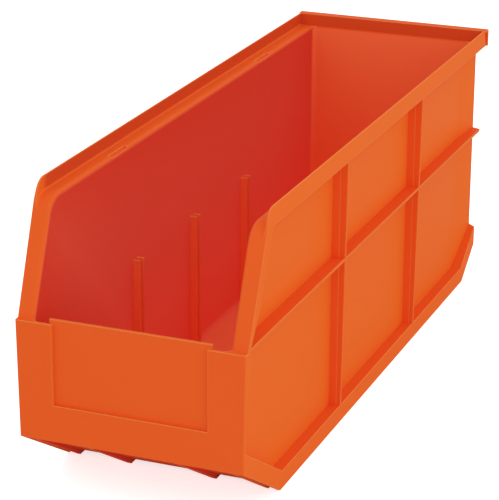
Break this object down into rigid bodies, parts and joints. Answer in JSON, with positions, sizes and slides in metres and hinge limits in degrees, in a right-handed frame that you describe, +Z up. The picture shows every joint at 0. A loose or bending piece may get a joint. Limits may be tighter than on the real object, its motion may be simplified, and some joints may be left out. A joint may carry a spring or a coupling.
{
  "type": "shelf bin",
  "caption": "Long one-piece plastic shelf bin with an open hopper front, label recess, divider slots, stacking ledges and a hanging lip at the back.",
  "frame": {"origin": "on the ground under the middle of the overall length and width", "axes": "+Z up, +Y from the open hopper front to the back wall, +X to the bin's right as seen from the front"},
  "size_m": [0.14, 0.457, 0.178],
  "materials": {
    "orange_plastic": "satin moulded polypropylene, orange"
  },
  "bodies": {
    "root": {"bin": "orange_plastic"}
  },
  "joints": []
}
